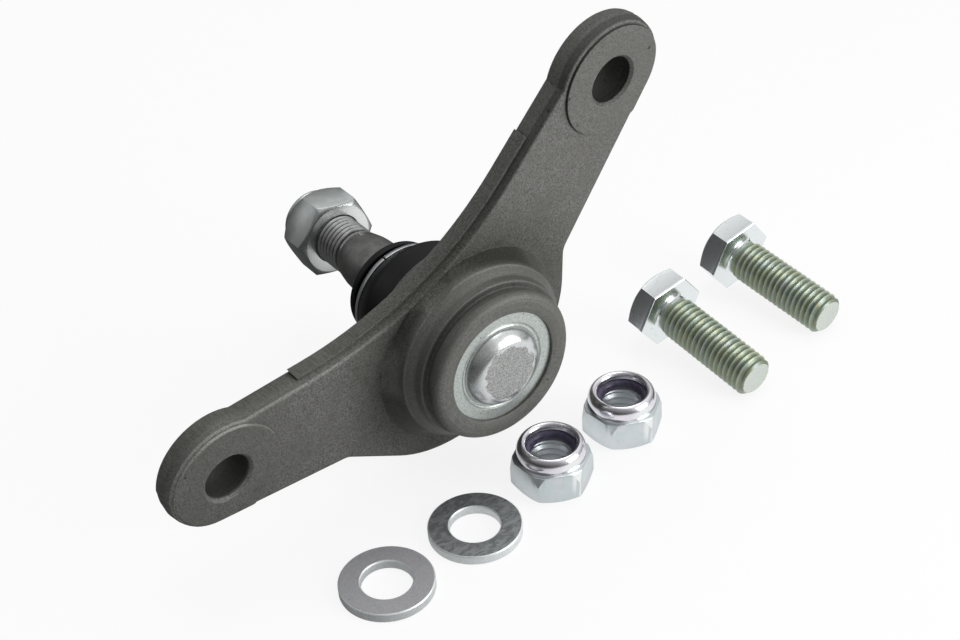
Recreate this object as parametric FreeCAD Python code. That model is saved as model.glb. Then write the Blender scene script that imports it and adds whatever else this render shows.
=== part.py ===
import FreeCAD, Part
import math
import os

# Suspension ball joint with a two-armed forged bracket, its stud nut and the loose fastener kit.
# Millimetres. The origin is the centre of the ball. +Y runs along the stud towards its nut,
# the cover faces -Y, and +Z is up, away from the floor that the bracket and the kit stand on.

V = FreeCAD.Vector

# Driving sizes of the ball and its housing
BALL_R = 12.5                # spherical head of the stud
SWING = 25.2                 # largest lean of the stud in any direction, degrees
NECK_R = 6.3                 # slim neck behind the ball
SEAT_R = 15.25               # outside of the plastic bearing seat
COLLAR_R = 21.8              # stepped collar on the cover side
FLARE_R = 24.4               # ring where the housing starts to flare into the plate
LIP_R = 20.7                 # outside of the rolled-over rim
COVER_Y = -15.0              # outer face of the cover's flat ring
COVER_R = 16.4               # edge of the cover disc, held under the rim
COVER_T = 1.4                # cover sheet
DOME_R = 11.3                # foot of the cover's dome
DOME_H = 3.2                 # rise of the dome
REAR_R = 17.4                # collar behind the plate
REAR_Y = 13.9                # end face of the rear collar

# Driving sizes of the forged bracket, in its own leaning plane (u, v) with w towards the cover
PLATE_Y = 0.5                # where the stud axis crosses the pads' plane
SLOPE = 27.3                 # climb of the line of holes above the floor, degrees
LEAN = 8.4                   # lean of the arms out of square with the stud, degrees
ARM_UP = 67.9                # bolt holes along the plane, from the stud's axis
ARM_LOW = 65.9
HOLE_RISE = 31.1             # and above it
HOLE_UP = V(ARM_UP, HOLE_RISE, 0)
HOLE_LOW = V(-ARM_LOW, HOLE_RISE, 0)
HOLE_R = 6.3                 # clearance for a 12 mm bolt
HOLE_CHAMFER = 0.8
HOLE_BACK_CHAMFER = 0.4
PAD_R = 15.0                 # machined round pad about each hole
PAD_RISE = 0.7               # pads stand this far off the forged face
BACK_BOSS_R = 10.4           # round boss behind each hole
EYE_UP_R = 16.7              # rounded arm ends at their widest
EYE_LOW_R = 16.4
FACE_W = -0.7                # forged arm face, below the pads at w = 0
PART_W = -3.9                # parting plane of the forging
BACK_W = -7.6                # back face of the arms
BACK_BOSS_W = -10.7          # machined end of the bosses behind the holes
LOBE_R = 36.2                # round base of the housing
LOBE_U = -1.5
INNER_R = 83.0               # sweep of the edge between the arms
LAND_UP = ARM_UP - 25.9      # ends of the trimmed strip along the sweep between the arms
LAND_LOW = 27.9 - ARM_LOW
BOSS_R = 24.0                # housing behind the plate
BOSS_Y = 8.0

# Inset of the forged outline from the parting plane to each face: draft, then a rounded edge
FRONT_LEVELS = [(PART_W, 0.0), (-1.9, 0.3), (-1.2, 0.52), (-0.85, 0.8), (FACE_W, 1.2)]
BACK_LEVELS = [(PART_W, 0.0), (-6.4, 0.35), (-7.1, 0.6), (-7.45, 0.9), (BACK_W, 1.3)]
PAD_FRONT_LEVELS = [(-2.0, 0.3), (-1.0, 0.6), (-0.35, 0.95), (0.0, 1.5)]

# Driving sizes of the stud's outer end, its nut and the boot
THREAD_R = 6.95              # 14 mm thread
SHANK_R = 8.3                # plain shank under the boot's lip
STUD_END = 71.5
NUT_Y = 59.8                 # bearing face of the stud nut
NUT_AF = 21.0
NUT_H = 14.0
GAP = 0.05                   # running clearance
NIP = 0.02                   # clearance of faces that are clamped together
SOFT_GAP = 0.3               # clearance round soft pieces
BOOT_T = 1.4
BOOT_SPLIT = 20.0            # where the boot's lower and upper parts meet
BOOT_SHIFT = V(-0.55, 0, -1.25)  # the rubber lip and its ring sit off the stud's axis
LIP_SEAL_R = 13.6            # flat lip on the shank
RING_JOINT = -109.0          # turn of the split ring's joint, degrees
NUT_TURN = 52.5              # turn of the stud nut's corners, degrees
NUT_STYLE = (0.9, (0.41, 50), 0.415, 1.4)  # hexagon's share, its cone, crown's share and wall

# Fastener kit: 12 mm bolts, lock nuts and washers
KIT_R = 5.93
KIT_AF = 19.0
BOLT_L = 33.4
HEAD_H = 7.2
KIT_NUT_H = 13.0
KIT_BORE_R = 5.1
KIT_STYLE = (0.66, (0.532, 73.6), 0.475, 2.6)
RING_LAP = 0.9               # the nylon ring reaches this far under the crown's edge
RING_SEAT = 0.66             # height of the nylon ring's seat, as a share of the nut's height
WASHER_R = 12.0
WASHER_HOLE_R = 6.5
WASHER_T = 2.5

# Places of the kit on the floor, from the point under the ball, and turns about the upright
BOLTS = {"bolt_a": (102.2, 8.1, -85.9, 8.6), "bolt_b": (69.3, 0.8, -87.9, 8.7)}
NUTS = {"kit_nut_a": (7.7, -23.4, 33.0), "kit_nut_b": (34.8, -19.1, 35.4)}
WASHERS = {"washer_a": (-47.5, -28.4), "washer_b": (-19.3, -26.4)}


def turned(points):
    """A solid turned about Y from corners (radius, y). An entry of three points is an arc."""
    edges = []
    here = None
    for p in points + [points[0]]:
        if isinstance(p, list):
            mid, end = V(p[0][0], p[0][1], 0), V(p[1][0], p[1][1], 0)
            edges.append(Part.Arc(here, mid, end).toShape())
            here = end
            continue
        there = V(p[0], p[1], 0)
        if here is not None and here.distanceToPoint(there) > 1e-6:
            edges.append(Part.makeLine(here, there))
        here = there
    face = Part.Face(Part.Wire(edges))
    return face.revolve(V(0, 0, 0), V(0, 1, 0), 360)


def hexagon(af, y0, y1, turn=0.0):
    """A six-sided prism along Y."""
    r = af / math.sqrt(3)
    angles = [math.radians(turn + 60 * k) for k in range(7)]
    wire = Part.makePolygon([V(r * math.cos(a), y0, r * math.sin(a)) for a in angles])
    return Part.Face(wire).extrude(V(0, y1 - y0, 0))


def chamfered_hex(af, y0, y1, low, high, turn=0.0):
    """A hexagon whose corners are cut by a cone (share of the flats, degrees) at either end."""
    corner = af / math.sqrt(3) + 0.01
    points = [(0, y0)]
    for y, into, cone in ((y0, 1, low), (y1, -1, high)):
        ends = [(corner, y)]
        if cone:
            face = af * cone[0]
            ends = [(face, y), (corner, y + into * (corner - face) * math.tan(math.radians(cone[1])))]
        points += ends[::into]
    points.append((0, y1))
    return hexagon(af, y0, y1, turn).common(turned(points))


def plate_frame(height):
    """Placement of the bracket's plane: x runs to the upper hole, z towards the cover."""
    a, b = math.radians(SLOPE), math.radians(LEAN)
    u = V(math.cos(a), 0, math.sin(a))
    v0 = V(-math.sin(a), 0, math.cos(a))
    w0 = V(0, -1, 0)
    v = v0 * math.cos(b) + w0 * math.sin(b)
    w = w0 * math.cos(b) - v0 * math.sin(b)
    m = FreeCAD.Matrix(u.x, v.x, w.x, 0, u.y, v.y, w.y, PLATE_Y, u.z, v.z, w.z, height, 0, 0, 0, 1)
    return FreeCAD.Placement(m)


def corner_loop(corners, grow, w):
    """A closed wire through rounded corners (u, v, radius), moved outwards by grow."""
    n = len(corners)
    pts = [V(c[0], c[1], 0) for c in corners]
    lines = []
    for i in range(n):
        a, b = pts[i], pts[(i + 1) % n]
        d = (b - a).normalize()
        out = V(d.y, -d.x, 0)
        lines.append((a + out * grow, d))
    moved = []
    for i in range(n):
        (p, d), (q, e) = lines[i - 1], lines[i]
        cross = d.x * e.y - d.y * e.x
        s = ((q.x - p.x) * e.y - (q.y - p.y) * e.x) / cross
        moved.append((p + d * s, cross))
    edges = []
    ends = []
    for i in range(n):
        p, cross = moved[i]
        radius = corners[i][2] + (grow if cross > 0 else -grow)
        back, ahead = lines[i - 1][1], lines[i][1]
        half = math.acos(max(-1, min(1, back.dot(ahead)))) / 2
        cut = radius * math.tan(half)
        side = V(-back.y, back.x, 0) * (1 if cross > 0 else -1)
        start, end = p - back * cut, p + ahead * cut
        centre = start + side * radius
        mid = centre + (p - centre).normalize() * radius
        ends.append((start, mid, end))
    for i in range(n):
        start, mid, end = [V(k.x, k.y, w) for k in ends[i]]
        follow = ends[(i + 1) % n][0]
        follow = V(follow.x, follow.y, w)
        edges.append(Part.Arc(start, mid, end).toShape())
        if end.distanceToPoint(follow) > 1e-4:
            edges.append(Part.makeLine(end, follow))
    return Part.Wire(edges)


def drafted(corners, levels):
    """A slab through outlines that are inset level by level."""
    wires = [corner_loop(corners, -inset, w) for w, inset in levels]
    slabs = [Part.makeLoft([low, high], True, True) for low, high in zip(wires, wires[1:])]
    return slabs[0].fuse(slabs[1:]) if len(slabs) > 1 else slabs[0]


def bracket_outline():
    """Corners of the two arms and the round base between them, anticlockwise from the front."""
    def tangent(angle):
        a = math.radians(angle)
        n = V(math.cos(a), math.sin(a), 0)
        return V(LOBE_U, 0, 0) + n * LOBE_R, V(-n.y, n.x, 0)

    def meet(one, two):
        (p, d), (q, e) = one, two
        s = ((q.x - p.x) * e.y - (q.y - p.y) * e.x) / (d.x * e.y - d.y * e.x)
        return p + d * s

    def arm_end(hole, low, top, reach):
        along = (low[1] + top[1] * (1 if low[1].dot(top[1]) > 0 else -1)).normalize()
        cap = (hole + along * reach, V(-along.y, along.x, 0))
        return meet(low, cap), meet(cap, top)

    up_low = (V(36.1, -5.8, 0), V(0.8536, 0.5209, 0))
    up_top = (V(18.2, 26.55, 0), V(0.923, 0.384, 0))
    low_low = (V(-54.8, 6.95, 0), V(-0.8377, 0.5462, 0))
    low_top = (V(-28.85, 30.55, 0), V(-0.910, 0.4145, 0))
    bottom, right, left = tangent(-90), tangent(-25), tangent(-150)
    up_a, up_b = arm_end(HOLE_UP, up_low, up_top, EYE_UP_R - 0.2)
    low_b, low_a = arm_end(HOLE_LOW, low_low, low_top, EYE_LOW_R - 0.2)
    pts = [
        (meet(bottom, right), LOBE_R), (meet(right, up_low), 5.0),
        (up_a, 14.9), (up_b, 14.0),
        (meet(up_top, low_top), INNER_R),
        (low_a, 14.0), (low_b, 14.3),
        (meet(low_low, left), 5.0), (meet(left, bottom), LOBE_R),
    ]
    return [(p.x, p.y, r) for p, r in pts]


def trim_land(corners):
    """The strip along the inner edge of the V where less of the flash was trimmed away."""
    grown = Part.Face(corner_loop(corners, 0.6, PART_W + 0.9))
    slab = grown.extrude(V(0, 0, BACK_W - PART_W - 0.3))
    window = Part.makeBox(LAND_UP - LAND_LOW, 60.0, 20.0, V(LAND_LOW, 12.0, -14.0))
    return slab.common(window)


def about_hole(hole, rings):
    """A solid turned about a bolt hole from corners (radius, w)."""
    wire = Part.makePolygon([V(hole.x + r, hole.y, w) for r, w in rings + [rings[0]]])
    return Part.Face(wire).revolve(hole, V(0, 0, 1), 360)


def eye(corners, hole, eye_r):
    """Rounded end of an arm: it bulges past the arm's upper edge, with a pad and a boss behind."""
    fronts = [(eye_r - inset, w) for w, inset in reversed(FRONT_LEVELS)]
    backs = [(eye_r - inset, w) for w, inset in BACK_LEVELS[1:]]
    disc = about_hole(hole, [(0, FACE_W)] + fronts + backs + [(0, BACK_W)])
    slope = 30 if hole.x > 0 else -30
    half = Part.makeBox(60.0, 30.0, 20.0, V(-30.0, 0, -14.0))
    half.rotate(V(0, 0, 0), V(0, 0, 1), slope)
    half.translate(hole)
    levels = PAD_FRONT_LEVELS
    deep, face = levels[0][0], levels[-1][0]
    step = face - PAD_RISE
    round_pad = about_hole(hole, [(0, deep), (PAD_R + 0.15, deep), (PAD_R + 0.15, step),
                                  (PAD_R, face - 0.1), (PAD_R - 0.1, face), (0, face)])
    bulge = about_hole(hole, [(0, deep)] + [(eye_r - i, w) for w, i in levels] + [(0, face)])
    pad = round_pad.common(drafted(corners, levels).fuse(bulge.common(half)))
    r, back = BACK_BOSS_R, BACK_BOSS_W
    boss = about_hole(hole, [(0, BACK_W + 1), (r + 1.6, BACK_W + 1), (r + 1.3, BACK_W),
                             (r + 0.5, BACK_W - 0.5), (r + 0.3, back + 0.3), (r, back), (0, back)])
    return [disc.common(half), pad, boss]


def arm_hole(hole):
    """A through hole with a chamfered mouth on both sides."""
    top, low = PAD_FRONT_LEVELS[-1][0], BACK_BOSS_W
    front, back = HOLE_R + HOLE_CHAMFER, HOLE_R + HOLE_BACK_CHAMFER
    return about_hole(hole, [
        (0, top + 1), (front + 1, top + 1), (front, top), (HOLE_R, top - HOLE_CHAMFER),
        (HOLE_R, low + HOLE_BACK_CHAMFER), (back, low), (back + 1, low - 1), (0, low - 1)])


def mouth(y, clear):
    """Radius that the leaning neck needs at this distance from the ball's centre."""
    a = math.radians(SWING)
    return y * math.tan(a) + NECK_R / math.cos(a) + clear


SHOULDER_Y = 8.6
BORE_Y = COVER_Y + COVER_T
GROOVE_Y = 11.0
GROOVE_R = REAR_R - 1.9


def housing_front():
    """Rolled rim, neck groove, stepped collar and the sweep that runs out into the arms."""
    y = COVER_Y
    return turned([
        (0, y + 0.1), (COVER_R - 1.3, y + 0.1), (COVER_R - 1.1, y - 0.75),
        [(17.2, y - 1.15), (18.4, y - 1.1)],
        [(LIP_R - 0.75, y - 0.5), (LIP_R, y + 0.7)],
        (LIP_R - 0.3, -12.6),
        [(LIP_R - 0.8, -11.9), (LIP_R - 0.45, -11.15)],
        (COLLAR_R - 0.5, -11.1),
        [(COLLAR_R - 0.12, -10.95), (COLLAR_R, -10.5)],
        (COLLAR_R + 0.4, -8.9), (FLARE_R - 0.6, -7.2),
        [(FLARE_R - 0.2, -6.9), (FLARE_R, -6.3)],
        (FLARE_R + 0.3, -4.9), [(26.2, -1.2), (31.0, 4.2)],
        (31.0, 12.0), (0, 12.0),
    ])


def housing_rear():
    """Round boss behind the plate and the collar with the groove that holds the boot."""
    return turned([
        (0, 0), (BOSS_R, 0), (BOSS_R, BOSS_Y - 0.4), (BOSS_R - 0.4, BOSS_Y),
        (REAR_R + 1.0, BOSS_Y), [(REAR_R + 0.3, 8.3), (REAR_R, 9.0)],
        (REAR_R, GROOVE_Y), (GROOVE_R, GROOVE_Y), (GROOVE_R, REAR_Y - 0.9),
        (GROOVE_R + 0.5, REAR_Y - 0.5), (GROOVE_R + 0.2, REAR_Y), (0, REAR_Y),
    ])


def housing_bore():
    """The bore that holds cover, seat and ball, and the mouth that the neck leans into."""
    y0 = COVER_Y - 2.0
    return turned([
        (0, y0), (COVER_R - 0.85, y0), (COVER_R - 1.2, COVER_Y - NIP), (COVER_R + GAP, COVER_Y - NIP),
        (COVER_R + GAP, BORE_Y), (SEAT_R + GAP, BORE_Y), (SEAT_R + GAP, SHOULDER_Y),
        (mouth(SHOULDER_Y, 0.7), SHOULDER_Y), (mouth(REAR_Y, 0.7), REAR_Y), (0, REAR_Y + 1),
    ])


def bracket(height):
    """The one-piece forging: arms, eyes and housing, bored and drilled."""
    corners = bracket_outline()
    slab = drafted(corners, FRONT_LEVELS).fuse(drafted(corners, BACK_LEVELS))
    ends = eye(corners, HOLE_UP, EYE_UP_R) + eye(corners, HOLE_LOW, EYE_LOW_R)
    arms = slab.fuse([trim_land(corners)] + ends)
    arms = arms.cut(arm_hole(HOLE_UP).fuse(arm_hole(HOLE_LOW)))
    within = Part.Face(corner_loop(corners, -1.2, PART_W - 1.0)).extrude(V(0, 0, 40.0))
    arms.Placement = plate_frame(height)
    within.Placement = plate_frame(height)
    front = housing_front().translated(V(0, 0, height)).common(within)
    rear = housing_rear().translated(V(0, 0, height))
    whole = arms.fuse([front, rear]).removeSplitter()
    return whole.cut(housing_bore().translated(V(0, 0, height)))


def cover():
    """Pressed disc with a flat ring, a round groove and a low dome flattened in the middle."""
    y, t, r = COVER_Y, COVER_T, DOME_R
    top = y - DOME_H
    return turned([
        (0, top), (6.2, top), [(9.6, y - 2.1), (r - 0.2, y + 0.3)],
        [(r + 0.35, y + 0.5), (r + 0.9, y)], (COVER_R, y), (COVER_R, y + t),
        (r + 0.2, y + t), (r - 1.1, y + t), [(8.6, y - 0.6), (5.8, top + t)], (0, top + t),
    ])


def bearing_seat():
    """Plastic cup that wraps the ball past its equator, open at the front for grease."""
    r = BALL_R + 0.04
    front = -9.0
    rf = math.sqrt(r * r - front * front)
    back = 6.8
    rb = math.sqrt(r * r - back * back)
    return turned([
        (rf, front), (rf, BORE_Y + 0.3), (SEAT_R - 0.6, BORE_Y + 0.3), (SEAT_R, BORE_Y + 0.9),
        (SEAT_R, SHOULDER_Y - GAP), (mouth(SHOULDER_Y, 0.35), SHOULDER_Y - GAP), (rb, back),
        [(r, 0), (rf, front)],
    ])


def ball_stud():
    """Ball, slim neck, plain shank, short taper and the plain cylinder that carries the thread."""
    r = BALL_R
    flat = -11.4
    rf = math.sqrt(r * r - flat * flat)
    ny = math.sqrt(r * r - NECK_R * NECK_R)
    return turned([
        (0, flat), (rf, flat), [(r, 0), (NECK_R, ny)],
        (NECK_R, 18.0), [(NECK_R + 0.35, 20.6), (NECK_R + 1.2, 23.2)],
        (SHANK_R, 26.4), (SHANK_R, 38.5), (SHANK_R - 0.3, 44.6), (THREAD_R + 0.1, 49.2),
        (THREAD_R - 0.55, 49.7), (THREAD_R - 0.55, 50.6), (THREAD_R, 51.2),
        (THREAD_R, STUD_END - 1.2), (THREAD_R - 1.2, STUD_END), (0, STUD_END),
    ])


BULGE_R = 17.9
RING_Y = 26.4
RING_END = 28.3
RING_R = 14.75               # outside of the split ring at its outer end


def boot_lower():
    """Rubber boot from its bead on the rear collar to the widest part of the bulge."""
    r = GROOVE_R + GAP
    t = BOOT_T
    g = GROOVE_Y
    top = BOOT_SPLIT - SOFT_GAP / 2
    return turned([
        (r, g + 0.15), (r + 2.4, g + 0.15), (r + 2.5, g + 0.6),
        (r + 1.7, g + 0.75), (r + 1.7, g + 1.75), (r + 2.3, g + 1.95),
        [(BULGE_R - 0.15, 16.0), (BULGE_R, top)], (BULGE_R - t, top),
        [(BULGE_R - t - 0.05, 16.4), (r + 0.9, g + 3.3)], (r + 0.85, g + 2.2), (r, g + 1.9),
    ])


def boot_upper():
    """Rubber boot from the bulge to the ring's seat and the thick lip that seals on the shank."""
    r = SHANK_R + SOFT_GAP
    low = BOOT_SPLIT + SOFT_GAP / 2
    seat_low, seat_top = RING_Y - SOFT_GAP, RING_END + SOFT_GAP
    stations = [(low, BULGE_R, 0.0), (21.7, 17.5, 0.15), (23.3, 16.7, 0.45), (24.8, 15.9, 0.8),
                (seat_low, RING_R + 0.4, 1.0)]
    circles = [Part.Wire(Part.makeCircle(radius, V(0, y, 0) + BOOT_SHIFT * part, V(0, 1, 0)))
               for y, radius, part in stations]
    fold = Part.makeLoft(circles, True)
    seat = RING_R - 1.1
    end = RING_END + 4.9
    hub = turned([
        (0, seat_low), (seat + 0.5, seat_low), (seat, seat_top), (12.2, seat_top + 0.3),
        (12.2, seat_top + 2.0), (LIP_SEAL_R - 0.2, seat_top + 2.15),
        [(LIP_SEAL_R, seat_top + 2.4), (LIP_SEAL_R, seat_top + 3.4)],
        [(LIP_SEAL_R - 0.2, end - 0.3), (LIP_SEAL_R - 0.8, end)],
        (11.0, end + 0.4), (0, end + 0.4),
    ]).translated(BOOT_SHIFT)
    hollow = turned([
        (0, low - 1), (BULGE_R - BOOT_T, low - 1), (BULGE_R - BOOT_T, low),
        [(14.9, 22.6), (10.2, 24.2)], (r + 0.4, 24.6), (r, 25.6), (r, end + 2), (0, end + 2),
    ])
    return fold.fuse(hub).cut(hollow)


def ring(r_mid, wire_r, y):
    """A round-wire ring about the stud axis."""
    return Part.makeTorus(r_mid, wire_r, V(0, y, 0), V(0, 1, 0))


def split_ring():
    """Bevelled flat-wire ring that clamps the boot's lip, cut through at one side."""
    body = turned([
        (RING_R - 0.3, RING_Y), (RING_R + 0.55, RING_Y), (RING_R + 0.7, RING_Y + 0.2),
        [(RING_R + 0.5, RING_Y + 1.0), (RING_R, RING_END - 0.1)], (RING_R - 0.15, RING_END),
        (RING_R - 0.75, RING_END),
    ])
    slot = Part.makeBox(4.0, 4.0, 0.5, V(RING_R - 2, RING_Y - 1, -0.25))
    slot.rotate(V(0, 0, 0), V(0, 1, 0), RING_JOINT)
    return body.cut(slot).translated(BOOT_SHIFT)


def lock_nut(af, height, bore_r, y, style, turn=0.0):
    """A lock nut: hexagon, then a waist and a thick crown rolled over its nylon ring."""
    share, cone, crown_share, wall = style
    hex_top = y + height * share
    seat = y + height * RING_SEAT
    top = y + height
    deep = top - hex_top
    rim = af * crown_share
    mouth_r = rim - wall
    base = min(af * 0.487, af * cone[0] - 0.05)
    body = chamfered_hex(af, y, hex_top, (0.475, 30), cone, turn)
    crown = turned([
        (0, hex_top - 1.2), (base, hex_top - 1.2), (base, hex_top),
        [(rim - 0.15, hex_top + 0.07 * deep), (rim - 0.12, hex_top + 0.16 * deep)],
        [(rim, hex_top + 0.32 * deep), (rim - 0.04, top - 0.5 * deep)],
        [(rim - 0.27 * wall, top - 0.13 * deep), (rim - 0.6 * wall, top)],
        [(mouth_r + 0.3, top - 0.08 * deep), (mouth_r, top - 0.28 * deep)], (0, top - 0.28 * deep),
    ])
    pocket = turned([
        (0, seat), (mouth_r + RING_LAP, seat), (mouth_r + RING_LAP, top - 0.45 * deep),
        (mouth_r, top - 0.4 * deep), (mouth_r, top), (0, top),
    ])
    lead = 0.8
    bore = turned([
        (0, y - 1), (bore_r + lead + 1, y - 1), (bore_r, y + lead), (bore_r, seat + 1), (0, seat + 1),
    ])
    return body.fuse(crown).cut(pocket.fuse(bore))


def nut_insert(af, height, inner_r, y, style):
    """The nylon ring held in a lock nut's crown."""
    low = y + height * RING_SEAT + GAP
    share, _, crown_share, wall = style
    deep = height * (1 - share)
    out_r = af * crown_share - wall + RING_LAP - GAP
    top = y + height - 0.45 * deep - GAP
    return turned([
        (inner_r, low), (out_r, low), (out_r, top), (out_r - RING_LAP, top + 0.03 * deep),
        (inner_r + 0.3, top), (inner_r, top - 0.3),
    ])


def hex_bolt():
    """Fully threaded bolt as a plain cylinder: head from -Y, thread towards +Y."""
    head = chamfered_hex(KIT_AF, -HEAD_H, 0.0, (0.458, 30), None)
    shank = turned([
        (0, -1), (KIT_R - 0.7, -1), (KIT_R - 0.7, 1.4), (KIT_R, 2.2), (KIT_R, BOLT_L - 1.3),
        (KIT_R - 1.3, BOLT_L), (0, BOLT_L),
    ])
    return head.fuse(shank)


def lowest(shape):
    """Height of the lowest point, measured on the surface itself."""
    return shape.optimalBoundingBox(False, False).ZMin


def lay_bolt(shape, x, y, turn, roll, floor):
    """Lays a bolt on the floor so that a head corner and the thread's end both touch it."""
    corner = KIT_AF / math.sqrt(3)
    drops = [corner * math.sin(math.radians(roll + 60 * k)) for k in range(6)]
    rest = -min(drops)
    dip = math.asin((rest - KIT_R) / BOLT_L)
    shape.rotate(V(0, 0, 0), V(0, 1, 0), roll)
    shape.rotate(V(0, 0, 0), V(1, 0, 0), -math.degrees(dip))
    shape.rotate(V(0, 0, 0), V(0, 0, 1), turn - 90)
    shape.translate(V(x, y, floor - lowest(shape)))
    return shape


def stand(shape, x, y, floor):
    """Stands a piece made along Y upright on the floor."""
    shape.rotate(V(0, 0, 0), V(1, 0, 0), 90)
    shape.translate(V(x, y, floor - lowest(shape)))
    return shape


def washer():
    """A flat washer with rounded outer edges on its upper side."""
    e = 0.3
    return turned([
        (WASHER_HOLE_R + 0.1, 0), (WASHER_R - 0.1, 0), (WASHER_R, 0.1), (WASHER_R, WASHER_T - e),
        (WASHER_R - e, WASHER_T), (WASHER_HOLE_R + e, WASHER_T), (WASHER_HOLE_R, WASHER_T - e),
        (WASHER_HOLE_R, 0.1),
    ])


def build():
    """All pieces by name, in the row's frame."""
    forging = bracket(0.0)
    floor = lowest(forging)
    nut_bore = THREAD_R + GAP
    made = {
        "bracket_forging": forging,
        "cover_plate": cover(),
        "bearing_seat": bearing_seat(),
        "ball_stud": ball_stud(),
        "boot_lower": boot_lower(),
        "boot_upper": boot_upper(),
        "boot_clamp_ring": ring(GROOVE_R + GAP + 2.2, 0.4, GROOVE_Y + 1.25),
        "boot_split_ring": split_ring(),
        "stud_nut": lock_nut(NUT_AF, NUT_H, nut_bore, NUT_Y, NUT_STYLE, NUT_TURN),
        "stud_nut_insert": nut_insert(NUT_AF, NUT_H, nut_bore, NUT_Y, NUT_STYLE),
    }
    for name, (x, y, turn, roll) in BOLTS.items():
        made[name] = lay_bolt(hex_bolt(), x, y, turn, roll, floor)
    for name, (x, y, turn) in NUTS.items():
        nut = lock_nut(KIT_AF, KIT_NUT_H, KIT_BORE_R, 0.0, KIT_STYLE, -turn)
        made[name] = stand(nut, x, y, floor)
        inside = nut_insert(KIT_AF, KIT_NUT_H, KIT_R - 0.3, 0.0, KIT_STYLE)
        inside.rotate(V(0, 0, 0), V(1, 0, 0), 90)
        inside.translate(V(x, y, floor))
        made[name + "_insert"] = inside
    for name, (x, y) in WASHERS.items():
        made[name] = stand(washer(), x, y, floor)
    return made


os.makedirs("parts", exist_ok=True)
for name, shape in build().items():
    shape.exportStep("parts/" + name + ".step")
    box = shape.optimalBoundingBox(False, False)
    print(name, "solids", len(shape.Solids), "valid", shape.isValid(), "volume", round(shape.Volume, 1),
          "x %.2f %.2f" % (box.XMin, box.XMax), "y %.2f %.2f" % (box.YMin, box.YMax),
          "z %.2f %.2f" % (box.ZMin, box.ZMax))
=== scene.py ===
import math
import bmesh
import bpy
from mathutils import Matrix, Vector


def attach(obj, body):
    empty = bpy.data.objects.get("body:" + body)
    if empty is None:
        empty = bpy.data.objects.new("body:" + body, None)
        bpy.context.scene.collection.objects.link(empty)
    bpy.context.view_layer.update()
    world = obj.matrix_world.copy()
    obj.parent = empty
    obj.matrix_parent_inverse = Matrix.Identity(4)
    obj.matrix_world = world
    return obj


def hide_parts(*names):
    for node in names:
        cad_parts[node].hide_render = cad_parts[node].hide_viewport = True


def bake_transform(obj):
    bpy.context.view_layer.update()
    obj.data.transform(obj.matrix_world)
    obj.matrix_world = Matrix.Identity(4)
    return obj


# Suspension ball joint: forged bracket, stud with its boot and lock nut, and a loose kit of bolts,
# lock nuts and washers. Shapes are worked out in millimetres round +Y and placed in metres.

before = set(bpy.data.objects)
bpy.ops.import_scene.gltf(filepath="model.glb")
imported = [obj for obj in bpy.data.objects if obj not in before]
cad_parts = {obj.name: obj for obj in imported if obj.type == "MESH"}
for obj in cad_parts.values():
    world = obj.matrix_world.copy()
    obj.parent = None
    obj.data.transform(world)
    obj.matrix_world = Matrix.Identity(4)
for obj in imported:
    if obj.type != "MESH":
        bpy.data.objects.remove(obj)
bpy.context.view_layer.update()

MM = 0.001
FLOOR = -36.08
Y_AXIS = Vector((0, 1, 0))
Z_AXIS = Vector((0, 0, 1))

# The bracket's plane climbs and leans: ALONG runs to the upper hole, OUT points to the cover's side
SLOPE, LEAN = math.radians(27.3), math.radians(8.4)
ALONG = Vector((math.cos(SLOPE), 0, math.sin(SLOPE)))
RISE = Vector((-math.sin(SLOPE), 0, math.cos(SLOPE)))
OUT = -Y_AXIS * math.cos(LEAN) - RISE * math.sin(LEAN)
ACROSS = RISE * math.cos(LEAN) - Y_AXIS * math.sin(LEAN)
PLATE = Vector((0, 0.5, 0))
HOLES = [PLATE + ALONG * 67.9 + ACROSS * 31.1, PLATE - ALONG * 65.9 + ACROSS * 31.1]
HOLE_R, PAD_R, COLLAR_R = 6.3, 15.0, 24.5

# Heights on the plate's edge: the sheared land's two sides and the brink under the face
LAND_BACK, LAND_FRONT, BRINK = -7.45, -2.9, -1.3

# Threads: pitch, crest radius and root radius
STUD_THREAD = (1.5, 6.95, 6.03)
STUD_NUT_THREAD = (1.5, 6.2, 7.0)
BOLT_THREAD = (1.75, 5.93, 4.9)
KIT_NUT_THREAD = (1.75, 5.1, 6.03)
TEETH_STEPS = 72

# Stud: ball, neck, shank and thread
BALL_R, BALL_FLAT_Y, NECK_R, SHANK_R = 12.5, -11.4, 6.3, 8.3
STUD_THREAD_Y, STUD_END, STUD_RELIEF_R = 50.4, 71.5, 6.4
NUT_Y, NUT_TURN = 59.8, 52.5

# Boot: where its two halves meet and how far its small end sits off the stud's axis
BOOT_JOIN_Y, BULGE_R, BOOT_WALL = 20.0, 17.9, 1.4
BOOT_SHIFT = (-0.55, -1.25)

# Lock nuts: flats and height. Their style is the hexagon's share of the height, the far cone as a
# share of the flats, its slope, the crown as a share of the flats, and the crown's wall
STUD_NUT, KIT_NUT = (21.0, 14.0), (19.0, 13.0)
STUD_STYLE = (0.9, 0.41, 1.19, 0.415, 1.4)
KIT_STYLE = (0.66, 0.532, 3.4, 0.475, 2.6)
RING_SEAT, STUD_RING_R, KIT_RING_R = 0.66, 7.0, 5.3
HEX_STEPS = 144
HEX_SLOPE = math.tan(math.radians(30))

# A lock nut's crown. Foot: millimetres in from the rim, share of the crown's height
CROWN_FOOT = [(0.1, 0.04), (0.16, 0.08), (0.12, 0.16), (0.02, 0.26), (0.0, 0.36), (0.03, 0.5)]
# Roll on both sides of its top: share of the wall in from the rim, share of the height down
CROWN_CLIMB = [(0.07, 0.36), (0.17, 0.22), (0.3, 0.11), (0.45, 0.03)]
CROWN_TOP = 0.6
CROWN_FALL = [(0.76, 0.035), (0.92, 0.13), (1.0, 0.28)]

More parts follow.
